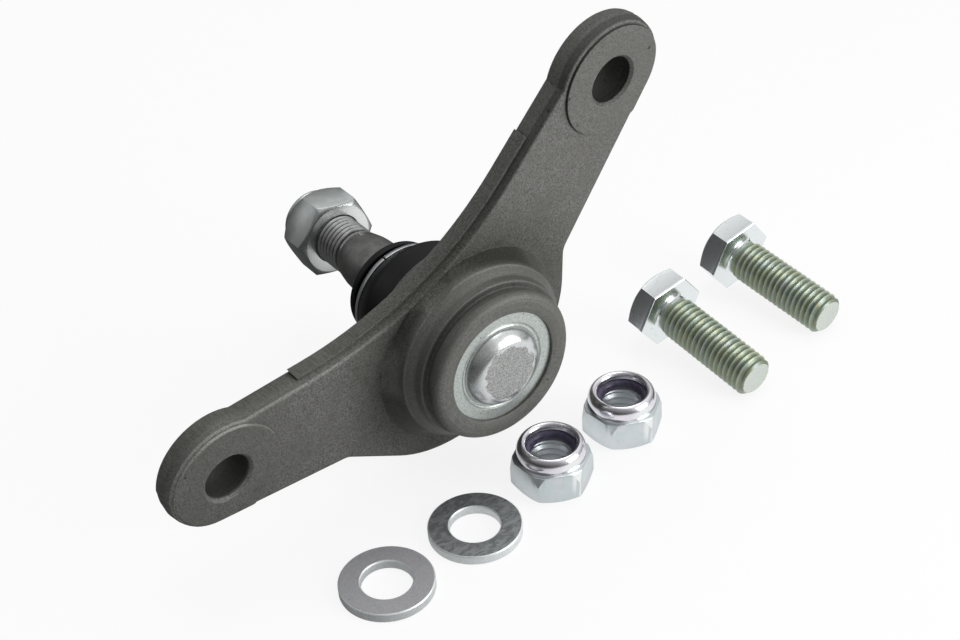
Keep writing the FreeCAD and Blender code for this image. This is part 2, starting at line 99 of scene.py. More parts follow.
BOLT_FLATS, BOLT_LENGTH, HEAD_H, BOLT_NECK_R, BOLT_THREAD_Y = 19.0, 33.4, 7.2, 5.25, 1.3
BOLTS = {"bolt_a": (102.2, 8.1, -85.9, 8.6), "bolt_b": (69.3, 0.8, -87.9, 8.7)}

NUTS = {"kit_nut_a": (7.7, -23.4, 33.0), "kit_nut_b": (34.8, -19.1, 35.4)}

# Corners sharper than this stay sharp, and a height over the whole object
SHARP_CORNER, ABOVE_ALL = math.radians(32), 500.0


# Shapes

def turned(corners, steps=112):
    """A closed skin turned about Y from corners (radius, y) or (radius, y, rounding)."""
    bm = bmesh.new()
    line = [bm.verts.new((corner[0], corner[1], 0)) for corner in corners]
    for first, second in zip(line, line[1:] + line[:1]):
        bm.edges.new((first, second))
    for vert, corner in zip(line, corners):
        if len(corner) > 2:
            bmesh.ops.bevel(bm, geom=[vert], offset=corner[2], segments=max(3, int(corner[2] * 6)),
                            affect="VERTICES", profile=0.5, material=-1)
    bmesh.ops.spin(bm, geom=bm.verts[:] + bm.edges[:], cent=(0, 0, 0), axis=(0, 1, 0),
                   dvec=(0, 0, 0), angle=math.tau, steps=steps, use_merge=True)
    bmesh.ops.remove_doubles(bm, verts=bm.verts, dist=1e-4)
    return bm


def open_edges(bm, y):
    """The open edges that lie at height y."""
    return [edge for edge in bm.edges
            if edge.is_boundary and all(abs(vert.co.y - y) < 1e-3 for vert in edge.verts)]


def ring_of_edges(bm, radius, y):
    """A new ring of edges about Y."""
    made = bmesh.ops.create_circle(bm, cap_ends=False, radius=radius, segments=HEX_STEPS)["verts"]
    bmesh.ops.rotate(bm, verts=made, cent=(0, 0, 0), matrix=Matrix.Rotation(math.pi / 2, 3, "X"))
    bmesh.ops.translate(bm, verts=made, vec=(0, y, 0))
    return list({edge for vert in made for edge in vert.link_edges})


def grow(bm, edges, rings):
    """Extrudes a ring of edges through (radius, y) rings. Either may be a function of the angle."""
    for radius, y in rings:
        made = bmesh.ops.extrude_edge_only(bm, edges=edges)["geom"]
        fresh = {part for part in made if isinstance(part, bmesh.types.BMVert)}
        edges = [part for part in made
                 if isinstance(part, bmesh.types.BMEdge) and set(part.verts) <= fresh]
        for vert in fresh:
            angle = math.atan2(vert.co.z, vert.co.x)
            reach = radius(angle) if callable(radius) else radius
            height = y(angle) if callable(y) else y
            vert.co = (reach * math.cos(angle), height, reach * math.sin(angle))
    return edges


def screw(bm, sizes, low, high, trim):
    """A screw thread between two heights: a line of teeth, spun one turn while it climbs a pitch,
    and cut off square. The trim function of radius and height gives the radius near both ends.
    Returns the open edges at both ends."""
    pitch, crest, root = sizes
    start = low - pitch * 1.2
    line = []
    for tooth in range(math.ceil((high - low) / pitch) + 2):
        for radius, part in ((root, 0.0), (root, 0.14), (crest, 0.51), (crest, 0.6)):
            line.append(bm.verts.new((radius, start + (tooth + part) * pitch, 0)))
    for first, second in zip(line, line[1:]):
        bm.edges.new((first, second))
    bmesh.ops.bevel(bm, geom=line[1:-1], offset=pitch * 0.05, segments=1, affect="VERTICES",
                    profile=0.5, material=-1)
    bmesh.ops.spin(bm, geom=bm.verts[:] + bm.edges[:], cent=(0, 0, 0), axis=(0, 1, 0),
                   dvec=(0, pitch / TEETH_STEPS, 0), angle=math.tau, steps=TEETH_STEPS,
                   use_merge=False)
    bmesh.ops.remove_doubles(bm, verts=bm.verts, dist=1e-3)
    for y, side in ((low, -1), (high, 1)):
        bmesh.ops.bisect_plane(bm, geom=bm.verts[:] + bm.edges[:] + bm.faces[:], dist=1e-5,
                               plane_co=(0, y, 0), plane_no=(0, side, 0), clear_outer=True)
    for vert in bm.verts:
        radius = math.hypot(vert.co.x, vert.co.z)
        share = trim(radius, vert.co.y) / radius
        vert.co.x *= share
        vert.co.z *= share
    return open_edges(bm, low), open_edges(bm, high)


def ease(share):
    """A soft step from 0 to 1."""
    share = max(0.0, min(1.0, share))
    return share * share * (3 - 2 * share)


def hexagon(flats, turn):
    """A function that gives the distance from the axis to a hexagon's side at an angle."""
    def reach(angle):
        off = (angle - math.radians(turn) + math.pi / 6) % (math.pi / 3) - math.pi / 6
        return flats / 2 / math.cos(math.pi / 6 - abs(off))
    return reach


def lock_nut(sizes, size, y, turn, style):
    """Lock nut in one skin: threaded bore, chamfered hexagon and the crown rolled over its ring."""
    flats, height = size
    share, cone, cone_slope, crown, wall = style
    top, seat, bench = y + height, y + height * RING_SEAT, y + height * share
    deep, rim = top - bench, flats * crown
    mouth, crown_foot = rim - wall, min(flats * 0.487, flats * cone - 0.05)
    face, far = flats * 0.475, flats * cone
    lead = sizes[2] + 0.25
    side = hexagon(flats - 0.06, turn)

    def near_chamfer(angle):
        return y + (side(angle) - face) * HEX_SLOPE

    def shoulder(angle):
        return bench - max(0.14, (side(angle) - far) * cone_slope)

    def inset(angle):
        return min(side(angle), far)

    bm = bmesh.new()
    low, high = screw(bm, sizes, y, seat,
                      lambda radius, at: max(radius, lead - (at - y), lead - (seat - at)))
    outer = ring_of_edges(bm, lead + 0.3, y)
    bmesh.ops.bridge_loops(bm, edges=low + outer)
    end = grow(bm, outer, [
        (face - 0.1, y), (lambda angle: face + (side(angle) - face) * 0.08, y + 0.03),
        (lambda angle: side(angle) - 0.12, near_chamfer),
        (side, lambda angle: near_chamfer(angle) + 0.2),
        (side, lambda angle: shoulder(angle) - 0.12), (lambda angle: side(angle) - 0.04, shoulder),
        (lambda angle: inset(angle) - 0.03, bench - 0.1),
        (lambda angle: inset(angle) - 0.15, bench), (crown_foot + 0.03, bench + 0.02)])
    end = grow(bm, end, [(rim - inward, bench + rise * deep) for inward, rise in CROWN_FOOT])
    end = grow(bm, end, [(rim - inward * wall, top - drop * deep) for inward, drop in CROWN_CLIMB])
    end = grow(bm, end, [(rim - CROWN_TOP * wall, top - 0.02)])
    end = grow(bm, end, [(rim - inward * wall, top - drop * deep) for inward, drop in CROWN_FALL])
    end = grow(bm, end, [(mouth + 0.04, top - 0.42 * deep), (mouth + 0.5, top - 0.45 * deep),
                         (mouth + 0.5, seat), (lead + 0.3, seat)])
    bmesh.ops.bridge_loops(bm, edges=high + end)
    return bm


def lock_ring(size, inner, y, style):
    """The nylon ring in a lock nut's crown."""
    flats, height = size
    share, _, _, crown, wall = style
    low = y + height * RING_SEAT + 0.05
    top = y + height * (1 - 0.45 * (1 - share)) - 0.1
    outer = flats * crown - wall + 0.45
    return turned([
        (inner, low, 0.1), (outer, low, 0.1), (outer, top, 0.1), (outer - 0.5, top + 0.05, 0.1),
        (inner + 0.5, top - 0.1, 0.3), (inner, top - 0.8, 0.3)], 96)


def bolt():
    """Fully threaded bolt in one skin: rolled thread, neck, and a head with a proud trimmed edge."""
    tip = BOLT_THREAD[1] - 1.25
    face = BOLT_FLATS * 0.458
    side = hexagon(BOLT_FLATS, 0)

    def trim(radius, y):
        runout = BOLT_NECK_R + (radius - BOLT_NECK_R) * ease((y - BOLT_THREAD_Y) / 1.5)
        return min(runout, tip + (BOLT_LENGTH - y) * 1.05)

    def shrunk(share):
        return lambda angle: side(angle) * share

    def top_chamfer(angle):
        return -HEAD_H + (side(angle) - face) * HEX_SLOPE

    bm = bmesh.new()
    low, high = screw(bm, BOLT_THREAD, BOLT_THREAD_Y, BOLT_LENGTH, trim)
    end = grow(bm, high, [(tip - 0.25, BOLT_LENGTH), (tip - 0.5, BOLT_LENGTH - 0.06)])
    bmesh.ops.edgeloop_fill(bm, edges=end)
    low = grow(bm, low, [(BOLT_NECK_R, 0.5), (BOLT_NECK_R + 0.2, 0.15), (BOLT_NECK_R + 0.6, 0.0)])
    outer = ring_of_edges(bm, BOLT_NECK_R + 0.9, 0.0)
    bmesh.ops.bridge_loops(bm, edges=low + outer)
    end = grow(bm, outer, [
        (face - 0.6, 0.0), (shrunk(0.985), 0.0), (side, -0.15), (side, -0.75),
        (shrunk(0.992), -1.15), (shrunk(0.985), -1.3),
        (shrunk(0.985), lambda angle: top_chamfer(angle) + 0.15), (shrunk(0.975), top_chamfer),
        (face, -HEAD_H + 0.03), (face - 0.3, -HEAD_H), (face * 0.6, -HEAD_H + 0.05)])
    bmesh.ops.edgeloop_fill(bm, edges=end)
    return bm


def ball_stud():
    """Ball, neck, shank and taper grown on from the thread's inner end."""
    tip = STUD_THREAD[1] - 1.2

    def trim(radius, y):
        runout = STUD_RELIEF_R + (radius - STUD_RELIEF_R) * ease((y - STUD_THREAD_Y) / 1.4)
        return min(runout, tip + (STUD_END - y))

    bm = bmesh.new()
    low, high = screw(bm, STUD_THREAD, STUD_THREAD_Y, STUD_END, trim)
    end = grow(bm, high, [(tip - 0.3, STUD_END), (tip - 0.5, STUD_END - 0.05)])
    bmesh.ops.edgeloop_fill(bm, edges=end)
    joint, flat = math.asin(NECK_R / BALL_R), math.acos(BALL_FLAT_Y / BALL_R)
    arc_steps = 26
    arc = [joint + (flat - joint) * step / arc_steps for step in range(arc_steps + 1)]
    taper = [(STUD_RELIEF_R, 49.75), (6.95, 49.3), (7.12, 49.05), (7.6, 46.8), (7.95, 45.0),
             (8.12, 43.2), (8.28, 39.0)]
    shank = [(SHANK_R, 38.0), (SHANK_R, 27.2), (8.22, 26.3), (7.9, 25.1), (7.5, 23.4), (7.0, 21.9),
             (6.65, 20.6), (6.42, 19.2)]
    neck = [(NECK_R, 18.0), (NECK_R, 14.5), (NECK_R, 11.3)]
    ball = [(BALL_R * math.sin(angle), BALL_R * math.cos(angle)) for angle in arc]
    end = grow(bm, low, taper + shank + neck + ball)
    bmesh.ops.edgeloop_fill(bm, edges=end)
    return bm


def boot_lower():
    """Rubber boot from its bead in the housing's groove to the middle of the bulge."""
    return turned([
        (15.6, 11.15, 0.15), (18.0, 11.15, 0.25), (18.05, 11.65, 0.15), (17.25, 11.75, 0.1),
        (17.25, 12.75, 0.1), (17.7, 12.9, 0.2), (17.86, 16.0, 0.5), (BULGE_R, BOOT_JOIN_Y),
        (BULGE_R - BOOT_WALL, BOOT_JOIN_Y), (16.45, 16.0, 1.0), (16.3, 14.2, 0.5),
        (15.9, 13.9, 0.2), (15.55, 12.9, 0.2)])


def boot_upper():
    """Rubber boot from the bulge to the split ring's seat and the thick lip on the shank.
    The rubber sits off the stud's axis, more and more towards the ring."""
    bm = turned([
        (BULGE_R, BOOT_JOIN_Y), (17.6, 21.5, 0.7), (16.95, 23.0, 0.7), (16.2, 24.5, 0.7),
        (15.45, 25.95, 0.35), (14.15, 26.15, 0.1), (13.6, 28.6, 0.12), (12.35, 28.85, 0.25),
        (12.35, 30.65, 0.3), (13.35, 30.75, 0.25), (13.58, 31.4, 0.4), (13.55, 32.5, 0.4),
        (12.9, 33.15, 0.4), (11.0, 33.55, 0.8), (9.3, 33.5, 0.3), (8.6, 33.0, 0.3), (8.6, 31.5, 0.2),
        (8.9, 31.2, 0.15), (8.9, 29.4, 0.15), (8.6, 29.1, 0.15), (8.6, 25.6, 0.4), (10.2, 24.4, 0.5),
        (12.5, 23.9, 1.0), (15.2, 22.2, 1.2), (BULGE_R - BOOT_WALL, BOOT_JOIN_Y)])
    for vert in bm.verts:
        from_axis = math.hypot(vert.co.x, vert.co.z)
        share = ease((vert.co.y - BOOT_JOIN_Y) / 6.2) * ease((from_axis - 8.8) / 1.2)
        vert.co.x += BOOT_SHIFT[0] * share
        vert.co.z += BOOT_SHIFT[1] * share
    return bm


def nut_place(x, y):
    """Stands a nut made along +Y upright at a place on the floor."""
    return Matrix.Translation((x, y, FLOOR)) @ Matrix.Rotation(math.pi / 2, 4, "X")


def bolt_place(x, y, turn, roll):
    """Lays a bolt so that a head corner and the thread's end both touch the floor."""
    crest, corner_r = BOLT_THREAD[1], BOLT_FLATS / math.sqrt(3)
    head_rest = max(-corner_r * math.sin(math.radians(roll + 60 * side)) for side in range(6))
    dip = math.asin((head_rest - crest) / BOLT_LENGTH)
    pose = (Matrix.Rotation(math.radians(turn - 90), 4, "Z") @ Matrix.Rotation(-dip, 4, "X")
            @ Matrix.Rotation(math.radians(roll), 4, "Y"))
    corners = [Vector((math.cos(math.radians(60 * side)), 0, math.sin(math.radians(60 * side))))
               for side in range(6)]
    below_head = max(-(pose @ (corner * corner_r)).z for corner in corners)
    below_tip = crest * math.cos(dip) + BOLT_LENGTH * math.sin(dip)
    return Matrix.Translation((x, y, FLOOR + max(below_head, below_tip))) @ pose


def piece(name, bm, finish, body, stands_for, place=None):
    """Finishes a skin: faces outwards, smooth but for its corners, in metres, on its body."""
    bmesh.ops.recalc_face_normals(bm, faces=bm.faces)
    for face in bm.faces:
        face.smooth = True
    matrix = Matrix.Scale(MM, 4) @ (place or Matrix.Identity(4))
    bmesh.ops.transform(bm, matrix=matrix, verts=bm.verts)
    mesh = bpy.data.meshes.new(name)
    bm.to_mesh(mesh)
    bm.free()
    mesh.set_sharp_from_angle(angle=SHARP_CORNER)
    mesh.materials.append(finish)
    obj = bpy.data.objects.new(name, mesh)
    bpy.context.scene.collection.objects.link(obj)
    if body:
        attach(obj, body)
    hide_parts(*stands_for)
    return obj


# Shader tools

def tone(red, green, blue):
    """A colour as it is seen on screen, turned into linear light."""
    def linear(value):
        value /= 255
        return value / 12.92 if value <= 0.04045 else ((value + 0.055) / 1.055) ** 2.4
    return (linear(red), linear(green), linear(blue), 1.0)


class Signal:
    """A shader socket. Sums, differences and products of numbers add their Math nodes."""

    def __init__(self, tree, socket):
        self.tree, self.socket = tree, socket

    def math(self, operation, first, second=0.0):
        return self.tree.node("ShaderNodeMath", {"operation": operation}, {0: first, 1: second})

    def __add__(self, other):
        return self.math("ADD", self, other)

    __radd__ = __add__

    def __sub__(self, other):
        return self.math("SUBTRACT", self, other)

    def __rsub__(self, other):
        return self.math("SUBTRACT", other, self)

    def __mul__(self, other):
        return self.math("MULTIPLY", self, other)

    __rmul__ = __mul__

    def size(self):
        return self.math("ABSOLUTE", self)

    def least(self, other):
        return self.math("MINIMUM", self, other)

    def most(self, other):
        return self.math("MAXIMUM", self, other)

    def step(self, low, high):
        """0 below low, 1 above high and a soft edge between. It falls where low is above high."""
        return self.tree.node("ShaderNodeMapRange", {"interpolation_type": "SMOOTHSTEP"},
                              {"Value": self, "From Min": low, "From Max": high})


class Tree:
    """A node tree and the one method that adds any node to it."""

    def __init__(self, owner):
        owner.use_nodes = True
        self.tree = owner.node_tree
        self.tree.nodes.clear()

    def node(self, kind, settings=None, values=None, out=0):
        """Adds a node with its settings and the values or links of its sockets. Returns the
        output of that number or name."""
        node = self.tree.nodes.new(kind)
        for key, value in (settings or {}).items():
            if key == "stops":
                ramp = node.color_ramp
                while len(ramp.elements) < len(value):
                    ramp.elements.new(0.5)
                for element, (at, colour) in zip(ramp.elements, value):
                    element.position, element.color = at, colour
            else:
                setattr(node, key, value)
        for key, value in (values or {}).items():
            if value is None:
                continue
            slot = node.inputs[key] if isinstance(key, int) else self.named(node.inputs, key)
            if isinstance(value, Signal):
                self.tree.links.new(value.socket, slot)
            else:
                slot.default_value = value
        if isinstance(out, str):
            return Signal(self, self.named(node.outputs, out))
        return Signal(self, node.outputs[out]) if node.outputs else node

    @staticmethod
    def named(sockets, name):
        return next(socket for socket in sockets if name in (socket.identifier, socket.name))

    def mix(self, factor, first, second):
        return self.node("ShaderNodeMix", {"data_type": "RGBA"},
                         {"Factor_Float": factor, "A_Color": first, "B_Color": second},
                         "Result_Color")

    def vector(self, operation, first, second=(0, 0, 0), out=0):
        return self.node("ShaderNodeVectorMath", {"operation": operation},
                         {0: first, 1: second}, out)

    def joined(self, x, y, z):
        return self.node("ShaderNodeCombineXYZ", {}, {0: x, 1: y, 2: z})


class Finish(Tree):
    """One surface finish, in millimetres on the piece's own object coordinates."""

    def __init__(self, name):
        self.material = bpy.data.materials.new(name)
        super().__init__(self.material)
        where = self.node("ShaderNodeTexCoord", out="Object")
        self.place = self.vector("MULTIPLY", where, (1 / MM,) * 3)
        self.normal = self.node("ShaderNodeNewGeometry", out="Normal")

    def noise(self, scale, detail=3.0, rough=0.55, at=None, distortion=0.0):
        """Noise with this many features per millimetre."""
        return self.node("ShaderNodeTexNoise", {"noise_dimensions": "3D"}, {
            "Vector": at or self.place, "Scale": scale, "Detail": detail, "Roughness": rough,
            "Distortion": distortion})

    def cells(self, scale, at=None):
        """Distance from scattered points, this many per millimetre."""
        return self.node("ShaderNodeTexVoronoi", {"feature": "F1"}, {
            "Vector": at or self.place, "Scale": scale}, "Distance")

    def along(self, axis, centre=(0, 0, 0)):
        """Distance along an axis from a centre."""
        arm = self.vector("SUBTRACT", self.place, tuple(centre))
        return self.vector("DOT_PRODUCT", arm, axis, 1)

    def away(self, axis, centre=(0, 0, 0)):
        """Distance from an axis through a centre."""
        arm = self.vector("SUBTRACT", self.place, tuple(centre))
        return self.vector("LENGTH", self.vector("CROSS_PRODUCT", arm, axis), out=1)

    def facing(self, axis):
        """1 where the surface faces along an axis, 0 sideways and -1 the other way."""
        return self.vector("DOT_PRODUCT", self.normal, axis, 1)

    def softened(self, radius):
        """The normal as if the edges were rounded off by this radius."""
        return self.node("ShaderNodeBevel", {"samples": 6}, {"Radius": radius * MM})

    def worn(self, soft):
        """Over 1 on sharp edges and corners, 0 on flats."""
        return (1 - self.vector("DOT_PRODUCT", soft, self.normal, 1)) * 9.0

    def openness(self, distance, low, high):
        """0 in tight corners, 1 in the open."""
        light = self.node("ShaderNodeAmbientOcclusion", {"samples": 6, "only_local": True},
                          {"Distance": distance * MM}, "AO")
        return light.step(low, high)

    def bump(self, height, depth, normal=None):
        """Relief of this depth in millimetres."""
        return self.node("ShaderNodeBump", {}, {
            "Strength": 1.0, "Distance": depth * MM, "Height": height, "Normal": normal})

    def shade(self, colour, roughness, metallic, normal, **fixed):
        """Closes the finish with a Principled surface and returns its material."""
        values = {"Base Color": colour, "Roughness": roughness, "Metallic": metallic,
                  "Normal": normal}
        values.update({key.replace("_", " "): value for key, value in fixed.items()})
        body = self.node("ShaderNodeBsdfPrincipled", {}, values)
        self.node("ShaderNodeOutputMaterial", {}, {"Surface": body})
        return self.material


# Finishes

def forged_steel():
    """Dark forged steel: grainy skin, small pits, sheared trim land, machined pads, worn edges,
    painted shade on walls, in holes, hollows and round the housing, painted highlight and shade on the
    brink.
    """
    look = Finish("forged_steel")

    # Where on the forging
    level, lean = look.along(OUT, PLATE), look.facing(OUT).size()
    from_axis, depth = look.away(Y_AXIS), look.along(Y_AXIS)
    left_arm = look.along(ALONG, PLATE).step(-8, -20)
    right_arm = 1 - left_arm
    wall = lean.step(0.8, 0.4)
    top_edge = wall * look.along(ACROSS, PLATE).step(6, 12) * from_axis.step(
        COLLAR_R - 0.2, COLLAR_R + 0.4)
    land = top_edge * level.step(LAND_BACK - 0.25, LAND_BACK + 0.25) * level.step(
        LAND_FRONT + 0.3, LAND_FRONT - 0.3)
    draft = top_edge * level.step(LAND_FRONT - 0.3, LAND_FRONT + 0.2)
    brink = top_edge * level.step(BRINK - 0.2, BRINK + 0.2)
    housing = from_axis.step(COLLAR_R + 0.4, COLLAR_R - 0.4) * depth.step(-4.0, -6.5)
    from_holes = [look.away(OUT, hole) for hole in HOLES]
    bore = sum(reach.step(HOLE_R + 0.2, HOLE_R - 0.05) for reach in from_holes)
    pad = sum(reach.step(PAD_R + 0.1, PAD_R - 0.1) for reach in from_holes) * lean.step(0.9, 0.97)
    smooth = housing.most(pad * 0.6)

    # Textures
    grain, fine, broad = look.noise(1.9, 3.0, 0.7), look.noise(6.5, 2.0, 0.6), look.noise(
        0.09, 3.0, 0.6)
    stretched = look.node("ShaderNodeVectorMath", {"operation": "MULTIPLY_ADD"}, {
        0: look.joined(level, level, level), 1: tuple(OUT * -0.9), 2: look.place})
    shear = look.noise(2.6, 2.0, 0.6, stretched)
    lathe = look.noise(2.6, 2.0, 0.6, look.joined(from_axis, depth, 0.0))
    patches = look.noise(0.12, 1.0).step(0.55, 0.66)
    pits = look.cells(0.22, look.vector("ADD", look.place, (3.1, 7.7, 1.9))).step(0.16, 0.05) * patches
    soft = look.softened(0.35)
    edge = (look.worn(soft) * look.noise(0.8, 2.0).step(0.35, 0.7)).least(1.0) * look.openness(
        2.0, 0.55, 0.8)
    # Painted shade on the plate's front round the housing, mottled by noise
    boss_shade = from_axis.step(46, 27) * (1 - housing) * level.step(-9.0, -3.0) * (
        0.45 + look.noise(0.16, 3.0, 0.6))

    # Colour, layer on layer
    base = look.mix(grain.step(0.32, 0.68), tone(78, 78, 75), tone(126, 126, 123))
    base = look.mix(broad.step(0.35, 0.65) * 0.4, base, tone(94, 94, 90))
    turned_skin = look.mix(lathe.step(0.35, 0.65), tone(84, 84, 80), tone(104, 104, 100))
    base = look.mix(smooth * 0.5, base, turned_skin)
    sheared_skin = look.mix(shear.step(0.35, 0.65), tone(76, 76, 72), tone(104, 104, 99))
    base = look.mix(land * left_arm * 0.8, base, sheared_skin)
    # Painted shade: the side walls darkened, a little more on the right arm
    base = look.mix(wall * (0.36 - 0.06 * left_arm), base, tone(62, 62, 58))
    # Painted shade: a dark band on the right arm's draft stands in for its sloped wall in shadow
    base = look.mix(draft * 0.6 * right_arm, base, tone(46, 46, 43))
    # Painted highlight: a light broken line along the left arm's brink
    base = look.mix(brink * fine.step(0.42, 0.56) * left_arm * 0.9, base, tone(186, 186, 181))
    # Painted shade: a dark line along the right arm's brink
    base = look.mix(brink * right_arm * 0.8, base, tone(34, 34, 32))
    # Painted shade round the housing, with grain in it
    shaded_skin = look.mix(grain.step(0.35, 0.65), tone(40, 40, 35), tone(78, 78, 72))
    base = look.mix((boss_shade * 0.55).least(0.7), base, shaded_skin)
    # Painted shade on the walls of the bolt holes
    base = look.mix(bore * 0.55, base, tone(34, 34, 32))
    base = look.mix(pits * 0.75, base, tone(42, 42, 39))
    base = look.mix(fine.step(0.6, 0.7) * 0.4 * (1 - smooth), base, tone(160, 160, 154))
    base = look.mix(edge * 0.45, base, tone(158, 158, 152))
    # Painted shade in corners and hollows
    base = look.mix((1 - look.openness(13.0, 0.3, 0.95)) * 0.66, base, tone(31, 31, 27))

    height = grain * 0.7 * (1 - smooth * 0.75) + fine * 0.3 - pits * 1.5 + (
        shear * land * left_arm * 0.5) + lathe * housing * 0.35
    rough = 0.5 + grain * 0.2 - smooth * 0.1
    return look.shade(base, rough, 0.35, look.bump(height, 0.18, soft), Specular_IOR_Level=0.45)


def zinc_cover():
    """Zinc plated pressed cover: satin ring, polished dome, dull flattened middle, dark specks."""
    look = Finish("zinc_cover")
    from_axis = look.away(Y_AXIS)
    dull, mottle = look.noise(3.2, 3.0, 0.75), look.noise(1.6, 3.0, 0.65)
    ragged = from_axis + (look.noise(0.4, 4.0, 0.7) - 0.5) * 4.5
    middle = ragged.step(7.6, 7.2) * look.facing(Y_AXIS).step(-0.3, -0.8)
    dome = from_axis.step(11.6, 11.2)
    grime = from_axis.step(15.5, 16.2) * look.noise(0.5).step(0.4, 0.65)
    rim_shadow = (1 - look.openness(3.0, 0.3, 0.9)) * from_axis.step(14.2, 15.2)
    deep_shadow = from_axis.step(15.0, 15.9) * look.along((0.6, 0, -0.8)).step(2.0, 9.0)
    specks = look.cells(0.33).step(0.09, 0.04) * (1 - dome)
    base = look.mix(mottle.step(0.35, 0.7), tone(170, 177, 173), tone(199, 205, 201))
    base = look.mix(dome * 0.6, base, tone(222, 223, 225))
    dull_skin = look.mix(dull.step(0.36, 0.64), tone(126, 127, 126), tone(186, 187, 186))
    base = look.mix(middle, base, dull_skin)
    base = look.mix(grime * 0.7, base, tone(74, 76, 72))
    base = look.mix(rim_shadow * 0.8, base, tone(50, 51, 50))
    base = look.mix(deep_shadow * 0.9, base, tone(22, 23, 23))
    base = look.mix(specks * 0.8, base, tone(50, 50, 48))
    rough = 0.36 - dome * 0.16 + middle * 0.26 + mottle * 0.08
    height = mottle * 0.3 * (1 - dome * 0.8) + dull * middle * 0.6 - middle * 0.5
    return look.shade(base, rough, 0.9 - middle * 0.2, look.bump(height, 0.06, look.softened(0.3)))


def machined_steel():
    """Grey turned steel with fine tool lines round the stud's axis and painted shade deep in the
    thread.
    """
    look = Finish("stud_steel")
    depth, from_axis = look.along(Y_AXIS), look.away(Y_AXIS)
    lines = look.noise(5.0, 3.0, 0.7, look.joined(0.0, depth, from_axis))
    blotch = look.noise(0.35, 3.0, 0.6)
    threads = depth.step(STUD_THREAD_Y - 0.8, STUD_THREAD_Y - 0.2)
    dirt = threads * look.noise(0.9, 2.0).step(0.5, 0.7)
    root_shade = threads * from_axis.step(6.66, 6.2)
    base = look.mix(blotch.step(0.3, 0.7), tone(104, 104, 103), tone(125, 125, 124))
    base = look.mix(threads * 0.75, base, tone(200, 201, 201))
    base = look.mix(dirt * 0.4, base, tone(112, 111, 110))
    # Painted shade deep in the thread, between its ridges
    base = look.mix(root_shade * 0.85, base, tone(50, 49, 49))
    rough = 0.38 - threads * 0.1 + lines * 0.1
    return look.shade(base, rough, 0.9, look.bump(lines * (1 - threads * 0.7), 0.03))


def bright_wire():
    """Bright drawn wire of the boot's rings."""
    look = Finish("bright_wire")
    drawn = look.noise(3.0, 2.0, 0.6, look.joined(look.away(Y_AXIS), look.along(Y_AXIS), 0.0))
    base = look.mix(drawn.step(0.3, 0.7), tone(188, 191, 194), tone(226, 228, 230))
    return look.shade(base, 0.2 + drawn * 0.12, 1.0, look.bump(drawn, 0.02))


def rubber():
    """Black moulded rubber with a soft sheen and a faint mould texture."""
    look = Finish("rubber_black")
    skin = look.noise(1.6, 3.0, 0.6)
    dust = look.noise(0.22, 3.0, 0.6)
    base = look.mix(skin.step(0.3, 0.7), tone(8, 8, 9), tone(15, 15, 16))
    base = look.mix(dust.step(0.5, 0.75) * 0.25, base, tone(36, 36, 36))
    return look.shade(base, 0.36 + skin * 0.12, 0.0, look.bump(skin, 0.03), Specular_IOR_Level=0.2)


def zinc_silver(name, flats, crown_from):
    """Zinc plate of a lock nut: satin flats in the given colour, a shinier crown above a height,
    a painted highlight on faces turned towards -Y, such as the stud nut's bearing face, and painted
    shade in crevices."""
    look = Finish(name)
    cloud, grit = look.noise(0.25, 2.0, 0.5), look.noise(3.2, 3.0, 0.7)
    marks = look.noise(1.1, 3.0, 0.6, look.vector("MULTIPLY", look.place, (1.0, 0.3, 1.6)), 0.6)
    crown = look.along(Z_AXIS).step(crown_from, crown_from + 0.5)
    front_highlight = look.facing(Y_AXIS).step(-0.9, -0.98)
    base = look.mix(cloud.step(0.35, 0.65) * 0.3, flats, tone(226, 222, 228))
    base = look.mix(crown * 0.7, base, tone(234, 228, 236))
    # Painted highlight on faces turned towards -Y
    base = look.mix(front_highlight * 0.95, base, tone(236, 239, 238))
    base = look.mix(marks.step(0.6, 0.68) * 0.15, base, tone(148, 150, 158))
    # Painted shade in crevices
    base = look.mix((1 - look.openness(1.4, 0.3, 0.8)) * 0.55, base, tone(52, 50, 58))
    rough = 0.3 - (crown * 0.16).most(front_highlight * 0.1) + grit * 0.08
    return look.shade(base, rough, 1.0, look.bump(grit, 0.012, look.softened(0.18)))


